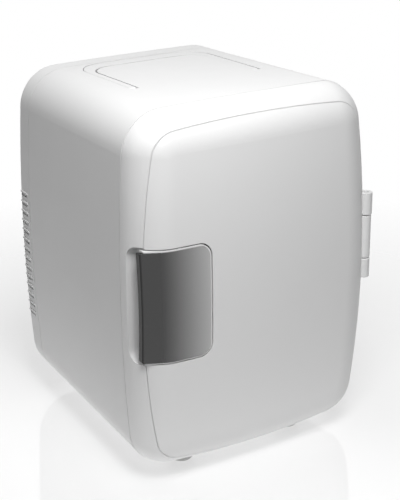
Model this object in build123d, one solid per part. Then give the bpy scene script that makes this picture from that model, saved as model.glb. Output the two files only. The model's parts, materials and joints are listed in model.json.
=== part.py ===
from build123d import *
import os
from math import asin, cos, sin, sqrt

# A small thermoelectric fridge with a side-hung door, a pull latch and a folding
# carry handle. Millimetres. X to the right, Y to the rear, Z up, with the origin on
# the floor under the middle of the casing. The door is on the -Y side.

# ---- casing ----
body_w = 200.5          # across the bowed sides
body_h = 268.0          # across the top and the base
body_d = 208.0          # front dome to rear face
foot_gap = 7.5          # floor to the lowest line of the casing
side_bow = 6.0          # how far each side bulges
top_bow = 0.8
base_bow = 4.0
corner_r = 31.0         # long edges of the casing
front_round_r = 29.0    # rounding from the sides into the front
dome_r = 1100.0         # gentle dome of the front face
draft = 5.0             # how much each side closes in towards the rear
wall = 2.5              # moulded skins
door_depth = 12.9       # front dome to the seam between door and frame
frame_depth = 32.7      # front dome to the seam between frame and shell
cover_depth = 19.6      # rear face to the seam of the rear cover
rear_round_r = 5.0
door_seam = 0.6         # open seam round the door
shell_seam = 0.5        # shadow line between fixed mouldings
tongue_l = 6.0          # locating lip behind each fixed seam
tongue_t = 1.5
inner_gap = 0.3         # clearance of parts that nest inside a skin
skin_gap = 0.2          # between parallel faces that don't locate each other

# ---- cold space ----
side_foam = 30.25       # side line to the cold space
end_foam = 34.0         # top and base line to the cold space
cavity_d = 128.0        # sealing land to the rear wall
cavity_r = 8.0
liner_t = 1.2
land_t = 2.5            # moulded land that the door seals against
liner_flange = 8.0
ledge_z = 118.0         # shelf height above the cavity floor
ledge_t = 3.0
ledge_l = 100.0

# ---- door ----
flange_t = 2.5          # door liner flange
gasket_t = 3.1
gasket_w = 6.0
plug_gap = 2.5          # door plug to the cavity walls
plug_depth = 14.1
plug_t = 1.8
gasket_gap = 1.0        # cavity edge to the gasket
door_screw_z = 60.0     # screws sit under the gasket, this far from mid height
door_screw_l = 5.0
boss_r = 3.6
screw_r = 1.5
screw_head_r = 2.8
screw_head_t = 1.6

# ---- door hinge ----
hinge_up = 17.2         # middle of the knuckle stack above mid height
knuckle_r = 4.2
top_knuckle_r = 4.6
knuckle_out = 1.6       # knuckle centre outside the skin
top_knuckle_l = 17.0
mid_knuckle_l = 33.0
base_knuckle_l = 15.0
knuckle_gap = 0.8
knuckle_clear = 0.45
hinge_pin_r = 1.5
hinge_pin_short = 1.5   # pin end below the top knuckle's rim
pin_fit = 0.06          # running clearance on a radius

# ---- latch ----
latch_up = 2.0          # middle of the latch above mid height
latch_h = 85.0          # recess height
latch_in = 3.75         # free end of the plate in from the side line
latch_l = 51.3          # free end to the right wall of the recess
latch_corner_r = 10.0
latch_gap = 1.0         # recess wall to the lever
lever_rim = 1.0         # lever showing round the grey facing
plate_t = 2.0
plate_proud = 0.5
plate_fit = 0.08        # bond between the facing and the lever
lever_back = 3.4        # lever thickness below the skin line
lever_reach = 12.0      # its plan is cut this far behind the door seam
latch_pin_l = 38.5      # free end to the pivot
latch_pin_deep = 6.0    # pivot behind the front dome
latch_pin_r = 1.2
latch_boss_r = 2.4
latch_boss_l = 14.0
latch_window = 16.0     # free end to the edge of the recess floor, clear of the hook
recess_floor_t = 1.3
recess_wall = 2.0
hook_t = 2.4
hook_in = 10.1          # free end to the outer face of the hook arm
hook_l = 8.5            # hook reach behind the door seam
hook_h = 18.0
barb = 1.7
catch_gap = 0.3
catch_l = 2.7           # catch reach from the barb to its root
catch_t = 2.4
hook_room = 1.2
hook_room_wall = 1.3
spring_coil_r = 1.65
spring_wire_r = 0.3
spring_pitch = 0.9
spring_turns = 7

# ---- finger scoop in the frame ----
scoop_in = 4.75         # axis of the hollow in from the side line
scoop_ahead = 1.9       # and ahead of the door seam
scoop_r = 14.5
scoop_over = 0.8        # hollow taller than the latch at each end
scoop_round = 9.0
scoop_wall = 2.2

# ---- carry handle ----
handle_half = 55.0      # outside of the channel arms
channel_w = 6.2
channel_back = 2.4      # channel to the seam of the rear cover
channel_l = 94.5
channel_bar = 16.0      # channel width along the grip
channel_r = 24.0
channel_deep = 11.0
channel_wall = 2.0
handle_gap = 0.6        # channel wall to the handle
grip_w = 13.0
grip_t = 8.5
arm_t = 7.0
pivot_back = 5.7        # pivot axis behind the channel's front wall
pivot_drop = 5.2        # pivot axis below the top skin
pivot_r = 4.6
handle_pin_r = 2.0
handle_pin_bite = 1.7   # each pin end in its channel wall

# ---- cold module and rear compartment ----
cold_up = 19.0          # cold block, heat sink and fan above mid height
cold_size = 60.0
cold_t = 14.8
module_size = 40.0
module_t = 3.8
bulkhead_t = 2.2
sink_w = 104.0
sink_h = 104.0
sink_base = 4.0
fin_l = 21.0
fin_t = 1.4
fin_pitch = 6.0
sink_screw = 24.0
fan_size = 80.0
fan_t = 15.0
fan_hole = 71.5
fan_bore_r = 37.5
fan_blade_r = 36.4
fan_hub_r = 16.0
fan_shaft_r = 1.5
blade_count = 7
pillar_r = 5.0
pillar_side = 27.25     # pillars in from the side lines
pillar_end = 37.0       # and from the top and base
grille_r = 37.0
grille_slot = 3.0
grille_pitch = 6.2
louvre_count = 14
louvre_pitch = 7.8
louvre_up = 29.0        # top side slot above mid height
louvre_slot = 2.6
louvre_lip = 0.8
board_w = 120.0
board_h = 62.0
board_t = 1.6
board_up = 55.0         # board middle above the casing's base
board_stand = 5.0
socket_up = 42.0
socket_x = 45.0
mains_w = 24.0
mains_h = 14.0
mains_deep = 18.0
mains_pin_gap = 8.6
mains_pin_r = 1.2
dc_r = 6.5
dc_deep = 16.0
dc_well_r = 3.2
dc_pin_r = 1.0
pin_tail = 4.0          # contacts reach behind their socket
rocker_w = 13.0
rocker_h = 19.0
rocker_deep = 15.0
rocker_pivot = 4.0      # rocker axis inside the rear face
rocker_dish_r = 17.6
light_r = 2.0
light_x = 8.0
light_up = 20.0        # above the sockets
flange_over = 2.0       # socket flanges overlap their cut-outs
flange_rim = 1.2

# ---- loose fittings ----
shelf_d = 88.0
shelf_t = 3.0
shelf_gap = 1.0
shelf_slot = 3.6
shelf_pitch = 9.0
bin_w = 112.0
bin_d = 34.0
bin_h = 58.0
bin_t = 2.0
bin_z = 26.0            # bin floor above the cavity floor
peg_r = 2.5
peg_l = 5.0
peg_x = 40.0

# ---- feet ----
foot_x = 48.0
foot_front = 10.6       # front feet behind the frame's seam
foot_rear = 12.4        # rear feet ahead of the cover's seam
foot_r = 8.8
foot_stem_r = 3.0

# ---- places that follow ----
cavity_w = body_w - 2 * side_foam
cavity_h = body_h - 2 * end_foam
front_y = -body_d / 2
rear_y = body_d / 2
mid_z = foot_gap + body_h / 2
door_y = front_y + door_depth
frame_y = front_y + frame_depth
cover_y = rear_y - cover_depth
land_y = door_y + gasket_t
gasket_in_w = cavity_w + 2 * gasket_gap
gasket_in_h = cavity_h + 2 * gasket_gap
door_screw_x = gasket_in_w / 2 + gasket_w / 2
cavity_rear = land_y + cavity_d
cavity_base = mid_z - cavity_h / 2
flange_y = door_y - flange_t
bulkhead_y = cavity_rear + liner_t + cold_t
cover_inner = rear_y - wall
board_y = bulkhead_y + bulkhead_t + board_stand
board_z = foot_gap + board_up
socket_z = foot_gap + socket_up
cold_z = mid_z + cold_up
louvre_top = mid_z + louvre_up
pillar_x = body_w / 2 - pillar_side
pillar_z = body_h / 2 - pillar_end
hinge_z = mid_z + hinge_up
latch_z = mid_z + latch_up
latch_left = latch_in - body_w / 2
latch_right = latch_left + latch_l
latch_pin_x = latch_left + latch_pin_l
latch_pin_y = front_y + latch_pin_deep
latch_window_x = latch_left + latch_window
recess_floor_y = flange_y - recess_floor_t - skin_gap
hook_x = latch_left + hook_in
hook_end_y = door_y + hook_l
scoop_x = scoop_in - body_w / 2
scoop_y = door_y - scoop_ahead
channel_rear = cover_y - channel_back
channel_front = channel_rear - channel_l
pivot_y = channel_front + pivot_back
foot_front_y = frame_y + foot_front
foot_rear_y = cover_y - foot_rear
far = 600.0

os.makedirs("parts", exist_ok=True)


def save(name, *solids):
    """Writes one node; several solids stay separate in a compound."""
    shape = solids[0] if len(solids) == 1 else Compound(children=list(solids))
    export_step(shape, f"parts/{name}.step")


def at_y(y):
    """Drawing plane with X across and Z up, at one depth."""
    return Plane(origin=(0, y, 0), x_dir=(1, 0, 0), z_dir=(0, -1, 0))


def span_y(y0, y1, sketch):
    """A sketch in X and Z made solid from y0 back to y1."""
    return extrude(at_y(y1) * sketch, y1 - y0)


def block(x0, x1, y0, y1, z0, z1):
    middle = Pos((x0 + x1) / 2, (y0 + y1) / 2, (z0 + z1) / 2)
    return middle * Box(x1 - x0, y1 - y0, z1 - z0)


def rod_x(radius, x0, x1, y, z):
    return Pos((x0 + x1) / 2, y, z) * Rot(0, 90, 0) * Cylinder(radius, x1 - x0)


def rod_y(radius, y0, y1, x, z):
    return Pos(x, (y0 + y1) / 2, z) * Rot(90, 0, 0) * Cylinder(radius, y1 - y0)


def rod_z(radius, z0, z1, x, y):
    return Pos(x, y, (z0 + z1) / 2) * Cylinder(radius, z1 - z0)


def section(y, inset=0.0):
    """The casing's outline at one depth, moved inwards by inset."""
    shrink = inset + draft * max(0.0, (y - frame_y) / (rear_y - frame_y))
    half_w = body_w / 2 - shrink
    half_h = body_h / 2 - shrink
    side = half_w - side_bow
    top = mid_z + half_h - top_bow
    base = mid_z - half_h + base_bow
    outline = [
        ThreePointArc((-side, base), (-half_w, mid_z), (-side, top)),
        ThreePointArc((-side, top), (0, mid_z + half_h), (side, top)),
        ThreePointArc((side, top), (half_w, mid_z), (side, base)),
        ThreePointArc((side, base), (0, mid_z - half_h), (-side, base)),
    ]
    face = make_face(outline)
    return fillet(face.vertices(), corner_r - inset)


def front_form(inset=0.0):
    """The domed and rounded front, from the dome back to the frame's seam."""
    back_y = frame_y + front_round_r
    bar = extrude(at_y(back_y) * section(frame_y, inset), back_y - front_y + 5)
    dome = Pos(0, front_y + dome_r, mid_z) * Sphere(dome_r - inset)
    form = bar & dome
    rim = form.faces().sort_by(Axis.Y)[0].edges()
    return fillet(rim, front_round_r - inset) & slice_y(-far, frame_y)


def rear_form(y0, y1, inset=0.0):
    """The drafted casing between two depths."""
    return loft([at_y(y0) * section(y0, inset), at_y(y1) * section(y1, inset)], ruled=True)


def slice_y(y0, y1):
    return block(-far, far, y0, y1, -far, far)


def top_z(y):
    """Height of the top skin on the centre line."""
    return mid_z + body_h / 2 - draft * (y - frame_y) / (rear_y - frame_y)


front_0 = front_form()
front_wall = front_form(wall)
front_inner = front_form(wall + inner_gap)


# ---- hinge axis: just outside the skin, level with the door seam ----
half_at_hinge = body_w / 2 - side_bow * ((hinge_z - mid_z) / (body_h / 2)) ** 2
round_x = half_at_hinge - front_round_r
round_y = front_y + dome_r - sqrt((dome_r - front_round_r) ** 2 - round_x ** 2)
seam_angle = asin((round_y - door_y) / front_round_r)
hinge_x = round_x + (front_round_r + knuckle_out) * cos(seam_angle)
hinge_y = round_y - (front_round_r + knuckle_out) * sin(seam_angle)
stack_l = top_knuckle_l + mid_knuckle_l + base_knuckle_l + 2 * knuckle_gap
base_knuckle_z = hinge_z - stack_l / 2
mid_knuckle_z = base_knuckle_z + base_knuckle_l + knuckle_gap
top_knuckle_z = mid_knuckle_z + mid_knuckle_l + knuckle_gap
stack_top = top_knuckle_z + top_knuckle_l


def knuckle(radius, z0, length):
    body = rod_z(radius, z0, z0 + length, hinge_x, hinge_y)
    ends = body.edges().filter_by(GeomType.CIRCLE)
    return fillet(ends, 0.6)


def hinge_room(radius, z0, length):
    return rod_z(radius + knuckle_clear, z0 - knuckle_gap / 2, z0 + length + knuckle_gap / 2,
                 hinge_x, hinge_y)


hinge_bore = rod_z(hinge_pin_r + pin_fit, base_knuckle_z + hinge_pin_short, far, hinge_x, hinge_y)
cabinet_room = (hinge_room(top_knuckle_r, top_knuckle_z, top_knuckle_l)
                + hinge_room(knuckle_r, base_knuckle_z, base_knuckle_l))
door_room = hinge_room(knuckle_r, mid_knuckle_z, mid_knuckle_l)
hinge_backing = rod_z(knuckle_r + knuckle_clear + wall, base_knuckle_z - wall, stack_top + wall,
                      hinge_x, hinge_y)


# ---- carry handle channel, a flat U that follows the handle ----
def channel_form(grow, z0):
    """The channel's plan from height z0 up, its walls moved outwards by grow."""
    outer_w = 2 * (handle_half + grow)
    y0 = channel_front - grow
    y1 = channel_rear + grow
    outer = Pos(0, (y0 + y1) / 2) * Rectangle(outer_w, y1 - y0)
    outer = fillet(outer.vertices().group_by(Axis.Y)[-1], channel_r + grow)
    inner_w = 2 * (handle_half - channel_w - grow)
    inner_y1 = channel_rear - channel_bar - grow
    inner = Pos(0, (inner_y1 - far) / 2) * Rectangle(inner_w, inner_y1 + far)
    inner = fillet(inner.vertices().group_by(Axis.Y)[-1], channel_r - channel_w - grow)
    plan = outer - inner
    return extrude(Plane.XY.offset(z0) * plan, far)


channel_floor = top_z(channel_rear) - channel_deep
pivot_z = top_z(pivot_y) - pivot_drop
channel = channel_form(0.0, channel_floor)
channel_outer = channel_form(channel_wall, channel_floor - channel_wall)
channel_room = channel_form(channel_wall + inner_gap, channel_floor - channel_wall - inner_gap)
handle_pin_x0 = handle_half - channel_w - handle_pin_bite
handle_pin_x1 = handle_half + handle_pin_bite


def mirrored(shape):
    return shape.mirror(Plane.YZ)


def both(shape):
    return [shape, mirrored(shape)]


# ---- outer shell ----
def outer_shell():
    y0 = frame_y + shell_seam / 2
    y1 = cover_y - shell_seam / 2
    skin_out = rear_form(y0, y1)
    shell = skin_out - rear_form(y0, y1, wall)
    shell += channel_outer & skin_out
    shell -= channel
    socket = rod_x(handle_pin_r + pin_fit, handle_pin_x0, handle_pin_x1, pivot_y, pivot_z)
    for pin_hole in both(socket):
        shell -= pin_hole
    for x, y in foot_places():
        shell -= rod_z(foot_stem_r + pin_fit, 0, mid_z, x, y)
    return shell


def foot_places():
    return [(x, y) for y in (foot_front_y, foot_rear_y) for x in (-foot_x, foot_x)]


# ---- finger scoop and catch ----
def scoop_form(grow):
    half = latch_h / 2 + scoop_over + grow
    scoop = rod_z(scoop_r + grow, latch_z - half, latch_z + half, scoop_x, scoop_y)
    rims = scoop.edges().filter_by(GeomType.CIRCLE)
    return fillet(rims, scoop_round)


scoop = scoop_form(0.0)
barb_x = hook_x + hook_t + barb
catch_root = barb_x + catch_l


def hook_pocket(grow):
    """Room for the hook behind the catch, open to the front."""
    half = hook_h / 2 + hook_room + grow
    return block(hook_x - hook_room - grow, catch_root + grow, front_y, hook_end_y + hook_room + grow,
                 latch_z - half, latch_z + half)


# ---- frame round the door opening ----
def front_frame():
    y0 = door_y + door_seam
    y1 = frame_y - shell_seam / 2
    ring = front_0 - front_wall
    land = front_0 & slice_y(land_y, land_y + land_t)
    backing = hinge_backing & front_0
    frame = ring + land + (scoop_form(scoop_wall) & front_0) + backing
    frame &= slice_y(y0, y1)
    frame -= span_y(front_y, 0, Pos(0, mid_z) * RectangleRounded(cavity_w, cavity_h, cavity_r))
    lip_out = rear_form(frame_y - tongue_l, frame_y + tongue_l, wall + inner_gap)
    lip_in = rear_form(frame_y - tongue_l, frame_y + tongue_l, wall + inner_gap + tongue_t)
    lip = (lip_out - lip_in) & slice_y(y1 - tongue_l / 2, frame_y + tongue_l)
    root_in = front_form(wall + inner_gap + tongue_t)
    root = (front_0 - root_in) & slice_y(y1 - tongue_l / 2, y1)
    frame += root + lip
    frame += hook_pocket(hook_room_wall) & slice_y(y0, y1)
    frame -= scoop
    frame -= hook_pocket(0.0)
    catch_x = barb_x + catch_gap
    half = hook_h / 2 + hook_room
    frame += block(catch_x, catch_root, y0 + skin_gap, y0 + skin_gap + catch_t,
                   latch_z - half, latch_z + half)
    frame -= door_room
    frame += knuckle(top_knuckle_r, top_knuckle_z, top_knuckle_l)
    frame += knuckle(knuckle_r, base_knuckle_z, base_knuckle_l)
    frame -= hinge_bore
    return frame


# ---- inner liner, an aluminium tub with two shelf ledges ----
def inner_liner():
    y0 = land_y + land_t
    tub = span_y(y0, cavity_rear + liner_t, Pos(0, mid_z) * RectangleRounded(
        cavity_w + 2 * liner_t, cavity_h + 2 * liner_t, cavity_r + liner_t))
    rim = span_y(y0, y0 + liner_t, Pos(0, mid_z) * RectangleRounded(
        cavity_w + 2 * liner_flange, cavity_h + 2 * liner_flange, cavity_r + liner_flange))
    hollow = span_y(y0 - 1, cavity_rear, Pos(0, mid_z) * RectangleRounded(cavity_w, cavity_h, cavity_r))
    liner = tub + rim - hollow
    ledge_top = cavity_base + ledge_z
    ledge = rod_y(ledge_t, cavity_rear - ledge_l, cavity_rear, cavity_w / 2, ledge_top - ledge_t)
    ledge &= block(0, cavity_w / 2 + liner_t / 2, front_y, rear_y, 0, far)
    for rail in both(ledge):
        liner += rail
    return liner


# ---- foam between the shell and the liner ----
def cabinet_foam():
    y0 = frame_y + tongue_l + inner_gap
    foam = rear_form(y0, bulkhead_y, wall + inner_gap)
    foam -= span_y(front_y, cavity_rear + liner_t, Pos(0, mid_z) * RectangleRounded(
        cavity_w + 2 * liner_t, cavity_h + 2 * liner_t, cavity_r + liner_t))
    foam -= channel_room
    foam -= span_y(front_y, rear_y, Pos(0, cold_z) * Rectangle(cold_size, cold_size))
    for x, y in foot_places():
        foam -= rod_z(foot_stem_r + 2.5, 0, foot_gap + wall + 8, x, y)
    return foam


# ---- bulkhead between the foam and the rear compartment ----
def rear_bulkhead():
    plate = rear_form(bulkhead_y, bulkhead_y + bulkhead_t, wall + inner_gap)
    plate -= span_y(front_y, rear_y, Pos(0, cold_z) * Rectangle(cold_size, cold_size))
    plate -= channel_room
    for x in (-pillar_x, pillar_x):
        for z in (mid_z - pillar_z, mid_z + pillar_z):
            plate += rod_y(pillar_r, bulkhead_y + bulkhead_t / 2, cover_inner, x, z)
            plate -= rod_y(screw_r, cover_inner - 12, rear_y, x, z)
    for x, z in board_corners():
        plate += rod_y(boss_r, bulkhead_y + bulkhead_t / 2, board_y, x, z)
        plate -= rod_y(screw_r, bulkhead_y + bulkhead_t, board_y + 1, x, z)
    return plate


def board_corners():
    half_w = board_w / 2 - 6
    half_h = board_h / 2 - 6
    return [(x, board_z + z) for x in (-half_w, half_w) for z in (-half_h, half_h)]


# ---- cold module ----
def cold_block():
    y0 = cavity_rear + liner_t
    slab = block(-cold_size / 2 + inner_gap, cold_size / 2 - inner_gap, y0, y0 + cold_t,
                 cold_z - cold_size / 2 + inner_gap, cold_z + cold_size / 2 - inner_gap)
    for x, z in sink_screw_places():
        slab -= rod_y(screw_r, y0 + 4, rear_y, x, z)
    return slab


def sink_screw_places():
    return [(x, cold_z + z) for x in (-sink_screw, sink_screw) for z in (-sink_screw, sink_screw)]


module_y = cavity_rear + liner_t + cold_t
sink_front = module_y + module_t


def peltier_module():
    half = module_size / 2
    return block(-half, half, module_y, sink_front, cold_z - half, cold_z + half)


def module_seal():
    outer = Pos(0, cold_z) * Rectangle(cold_size - 2 * inner_gap, cold_size - 2 * inner_gap)
    inner = Pos(0, cold_z) * Rectangle(module_size + 1, module_size + 1)
    ring = span_y(module_y, sink_front, outer - inner)
    for x, z in sink_screw_places():
        ring -= rod_y(screw_r + 0.2, module_y - 1, sink_front + 1, x, z)
    return ring


def heat_sink():
    half_w = sink_w / 2
    half_h = sink_h / 2
    sink = block(-half_w, half_w, sink_front, sink_front + sink_base, cold_z - half_h, cold_z + half_h)
    count = int((sink_w - fin_t) / fin_pitch)
    for i in range(count + 1):
        x = (i - count / 2) * fin_pitch
        if abs(abs(x) - sink_screw) < screw_head_r + fin_t:
            continue
        sink += block(x - fin_t / 2, x + fin_t / 2, sink_front + sink_base / 2,
                      sink_front + sink_base + fin_l, cold_z - half_h, cold_z + half_h)
    for x, z in sink_screw_places():
        sink -= rod_y(screw_r + 0.2, sink_front - 1, rear_y, x, z)
    return sink


def screw(head_y, length, x, z):
    """A pan-head screw along Y, its head's seat at head_y and its shank forward of it."""
    shank = rod_y(screw_r - 0.05, head_y - length, head_y, x, z)
    head = rod_y(screw_head_r, head_y, head_y + screw_head_t, x, z)
    slot = (block(x - 1.8, x + 1.8, head_y + 0.8, head_y + 3, z - 0.4, z + 0.4)
            + block(x - 0.4, x + 0.4, head_y + 0.8, head_y + 3, z - 1.8, z + 1.8))
    return shank + head - slot


# ---- fan ----
fan_y0 = cover_inner - fan_t


def fan_hole_places():
    half = fan_hole / 2
    return [(x, cold_z + z) for x in (-half, half) for z in (-half, half)]


def fan_frame():
    frame = span_y(fan_y0, cover_inner, Pos(0, cold_z) * RectangleRounded(fan_size, fan_size, 4))
    frame -= rod_y(fan_bore_r, fan_y0 - 1, cover_inner + 1, 0, cold_z)
    hub = rod_y(fan_hub_r, fan_y0, fan_y0 + 2, 0, cold_z)
    for angle in (45, 135, 225, 315):
        arm = block(fan_hub_r - 3, fan_bore_r + 2, fan_y0, fan_y0 + 2, -1.5, 1.5)
        hub += Pos(0, 0, cold_z) * Rot(0, angle, 0) * arm
    hub += rod_y(fan_shaft_r + 1.5, fan_y0, fan_y0 + 6, 0, cold_z)
    frame += hub
    frame -= rod_y(fan_shaft_r + pin_fit, fan_y0 + 0.6, rear_y, 0, cold_z)
    for x, z in fan_hole_places():
        frame -= rod_y(screw_r, fan_y0 - 1, cover_inner + 1, x, z)
    return frame


def fan_rotor():
    y0 = fan_y0 + 3
    y1 = cover_inner - 1.5
    hub = rod_y(fan_hub_r - 1, y0, y1, 0, cold_z)
    hub -= rod_y(fan_shaft_r + 4.5, y0 - 1, y1 - 3, 0, cold_z)
    hub += rod_y(fan_shaft_r, fan_y0 + 1, y1 - 1, 0, cold_z)
    blade_h = y1 - y0 - 1
    for i in range(blade_count):
        blade = block(fan_hub_r - 3, fan_blade_r, -0.7, 0.7, -blade_h * 0.72, blade_h * 0.72)
        blade = Rot(38, 0, 0) * blade
        blade &= block(0, far, -blade_h / 2, blade_h / 2, -far, far)
        blade = Pos(0, (y0 + y1) / 2, cold_z) * Rot(0, i * 360 / blade_count, 0) * blade
        hub += blade
    hub &= rod_y(fan_blade_r, fan_y0, rear_y, 0, cold_z)
    return hub


# ---- rear cover ----
def rear_cover():
    y0 = cover_y + shell_seam / 2
    outer = rear_form(y0, rear_y)
    outer = fillet(outer.faces().sort_by(Axis.Y)[-1].edges(), rear_round_r)
    inner = rear_form(y0, rear_y, wall)
    inner = fillet(inner.faces().sort_by(Axis.Y)[-1].edges(), rear_round_r - wall)
    inner = Pos(0, -wall, 0) * inner
    inner += rear_form(y0 - 1, y0 + wall, wall)
    cover = outer - inner
    lip_out = rear_form(cover_y - tongue_l, cover_y + tongue_l, wall + inner_gap)
    lip_in = rear_form(cover_y - tongue_l, cover_y + tongue_l, wall + inner_gap + tongue_t)
    lip = (lip_out - lip_in) & slice_y(cover_y - tongue_l, y0 + tongue_l / 2)
    root = (outer - rear_form(y0, rear_y, wall + inner_gap + tongue_t)) & slice_y(y0, y0 + tongue_l / 2)
    cover += lip + root
    cover -= grille()
    cover -= louvre_slots()
    cover += louvre_lips()
    for x in (-pillar_x, pillar_x):
        for z in (mid_z - pillar_z, mid_z + pillar_z):
            cover -= rod_y(screw_r + 0.2, cover_inner - 1, rear_y + 1, x, z)
    for x, z in fan_hole_places():
        cover -= rod_y(screw_r + 0.2, cover_inner - 1, rear_y + 1, x, z)
    for hole in socket_holes():
        cover -= hole
    return cover


def grille():
    """Level air slots inside a circle, left solid across the middle line."""
    cut = None
    count = int(2 * grille_r / grille_pitch) - 1
    for i in range(count):
        z = (i - (count - 1) / 2) * grille_pitch
        half = sqrt(grille_r ** 2 - z ** 2) - 1
        for x0, x1 in ((-half, -1.6), (1.6, half)):
            slot = block(x0, x1, cover_inner - 1, rear_y + 1,
                         cold_z + z - grille_slot / 2, cold_z + z + grille_slot / 2)
            cut = slot if cut is None else cut + slot
    return cut


def louvre_heights():
    return [louvre_top - i * louvre_pitch for i in range(louvre_count)]


def louvre_slots():
    cut = None
    for z in louvre_heights():
        slot = block(-far, -70, cover_y + 4.5, rear_y - rear_round_r + 0.5, z, z + louvre_slot)
        for piece in both(slot):
            cut = piece if cut is None else cut + piece
    return cut


def louvre_lips():
    """A thin hood over each side slot."""
    y0 = cover_y + 4.0
    y1 = rear_y - rear_round_r + 0.8
    outer = rear_form(y0, y1, -louvre_lip) - rear_form(y0, y1, wall / 2)
    hoods = None
    for z in louvre_heights():
        hood = outer & block(-far, -70, y0, y1, z + louvre_slot, z + louvre_slot + 1.2)
        for piece in both(hood):
            hoods = piece if hoods is None else hoods + piece
    return hoods


# ---- power side ----
def socket_holes():
    half_w = mains_w / 2
    half_h = mains_h / 2
    return [
        block(socket_x - half_w, socket_x + half_w, cover_inner - 1, rear_y + 1,
              socket_z - half_h, socket_z + half_h),
        rod_y(dc_r, cover_inner - 1, rear_y + 1, -socket_x, socket_z),
        block(-rocker_w / 2 - 1.5, rocker_w / 2 + 1.5, cover_inner - 1, rear_y + 1,
              socket_z - rocker_h / 2 - 1.5, socket_z + rocker_h / 2 + 1.5),
        rod_y(light_r + 0.1, cover_inner - 1, rear_y + 1, -light_x, socket_z + light_up),
        rod_y(light_r + 0.1, cover_inner - 1, rear_y + 1, light_x, socket_z + light_up),
    ]


def mains_inlet():
    half_w = mains_w / 2 - 0.1
    half_h = mains_h / 2 - 0.1
    body = block(socket_x - half_w, socket_x + half_w, rear_y - mains_deep, rear_y,
                 socket_z - half_h, socket_z + half_h)
    rim = block(socket_x - half_w - flange_over, socket_x + half_w + flange_over, rear_y,
                rear_y + flange_rim, socket_z - half_h - flange_over, socket_z + half_h + flange_over)
    rim = fillet(rim.edges().filter_by(Axis.Y), 2.0)
    well = span_y(rear_y - mains_deep + 4, rear_y + 2, Pos(socket_x, socket_z) * SlotOverall(18.4, 9.6))
    inlet = body + rim - well
    for x in mains_pin_places():
        inlet -= rod_y(mains_pin_r, front_y, rear_y, x, socket_z)
    return inlet


def mains_pin_places():
    return [socket_x - mains_pin_gap / 2, socket_x + mains_pin_gap / 2]


def mains_pins():
    y0 = rear_y - mains_deep - pin_tail
    return [rod_y(mains_pin_r, y0, rear_y - 3, x, socket_z) for x in mains_pin_places()]


def car_inlet():
    body = rod_y(dc_r - 0.1, rear_y - dc_deep, rear_y, -socket_x, socket_z)
    rim = rod_y(dc_r + flange_over, rear_y, rear_y + flange_rim, -socket_x, socket_z)
    well = rod_y(dc_well_r, rear_y - dc_deep + 4, rear_y + 2, -socket_x, socket_z)
    return body + rim - well - rod_y(dc_pin_r, front_y, rear_y, -socket_x, socket_z)


def car_pin():
    return rod_y(dc_pin_r, rear_y - dc_deep - pin_tail, rear_y - 2, -socket_x, socket_z)


def switch_housing():
    half_w = rocker_w / 2 + 1.4
    half_h = rocker_h / 2 + 1.4
    y0 = rear_y - rocker_deep
    body = block(-half_w, half_w, y0, rear_y, socket_z - half_h, socket_z + half_h)
    rim = block(-half_w - flange_over, half_w + flange_over, rear_y, rear_y + flange_rim,
                socket_z - half_h - flange_over, socket_z + half_h + flange_over)
    rim = fillet(rim.edges().filter_by(Axis.Y), 1.5)
    well = block(-rocker_w / 2, rocker_w / 2, y0 + 1.5, rear_y + 2,
                 socket_z - rocker_h / 2, socket_z + rocker_h / 2)
    body = body + rim - well
    return body - rod_x(1.2 + pin_fit, -half_w - 1, half_w + 1, rear_y - rocker_pivot, socket_z)


def switch_rocker():
    """Three-position rocker, turning on stub pins about X."""
    y = rear_y - rocker_pivot
    half_w = rocker_w / 2 - 0.4
    half_h = rocker_h / 2 - 0.9
    body = block(-half_w, half_w, y - 3.0, y + 6.0, socket_z - half_h, socket_z + half_h)
    body &= rod_x(half_h, -half_w, half_w, y - 1.5, socket_z)
    dish = rod_x(rocker_dish_r, -half_w - 1, half_w + 1, y + 4.2 + rocker_dish_r, socket_z)
    body -= dish
    return body + rod_x(1.2, -rocker_w / 2 - 1.2, rocker_w / 2 + 1.2, y, socket_z)


def mode_lights():
    return [rod_y(light_r, cover_inner - 6, rear_y + 0.6, x, socket_z + light_up)
            for x in (-light_x, light_x)]


def power_board():
    board = block(-board_w / 2, board_w / 2, board_y, board_y + board_t,
                  board_z - board_h / 2, board_z + board_h / 2)
    for x, z in board_corners():
        board -= rod_y(screw_r + 0.2, board_y - 1, board_y + board_t + 1, x, z)
    return board


def board_parts():
    y = board_y + board_t
    z = board_z
    return [
        block(-18, 10, y, y + 15, z - 8, z + 20),
        rod_y(7.5, y, y + 14, 28, z - 2),
        rod_y(5.0, y, y + 13, 44, z + 10),
        rod_y(5.0, y, y + 13, -34, z + 12),
        block(-46, -43, y, y + 14, z - 14, z + 6),
        block(16, 40, y, y + 8, z + 14, z + 22),
    ]


# ---- door ----
def recess_plan(grow):
    """The latch recess's outline in X and Z, open past the door's left edge."""
    x0 = -far
    x1 = latch_right + grow
    height = latch_h + 2 * grow
    face = Pos((x0 + x1) / 2, latch_z) * Rectangle(x1 - x0, height)
    return fillet(face.vertices().group_by(Axis.X)[-1], latch_corner_r + grow)


def lever_plan(inset):
    """The lever's outline; its free end is nearly square."""
    x0 = latch_left
    x1 = latch_right - latch_gap - inset
    height = latch_h - 2 * latch_gap - 2 * inset
    face = Pos((x0 + x1) / 2, latch_z) * Rectangle(x1 - x0, height)
    face = fillet(face.vertices().group_by(Axis.X)[-1], latch_corner_r - latch_gap - inset)
    return fillet(face.vertices().group_by(Axis.X)[0], 1.5)


window_room = block(-far, latch_window_x, -far, 0, latch_z - latch_h / 2, latch_z + latch_h / 2)


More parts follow.
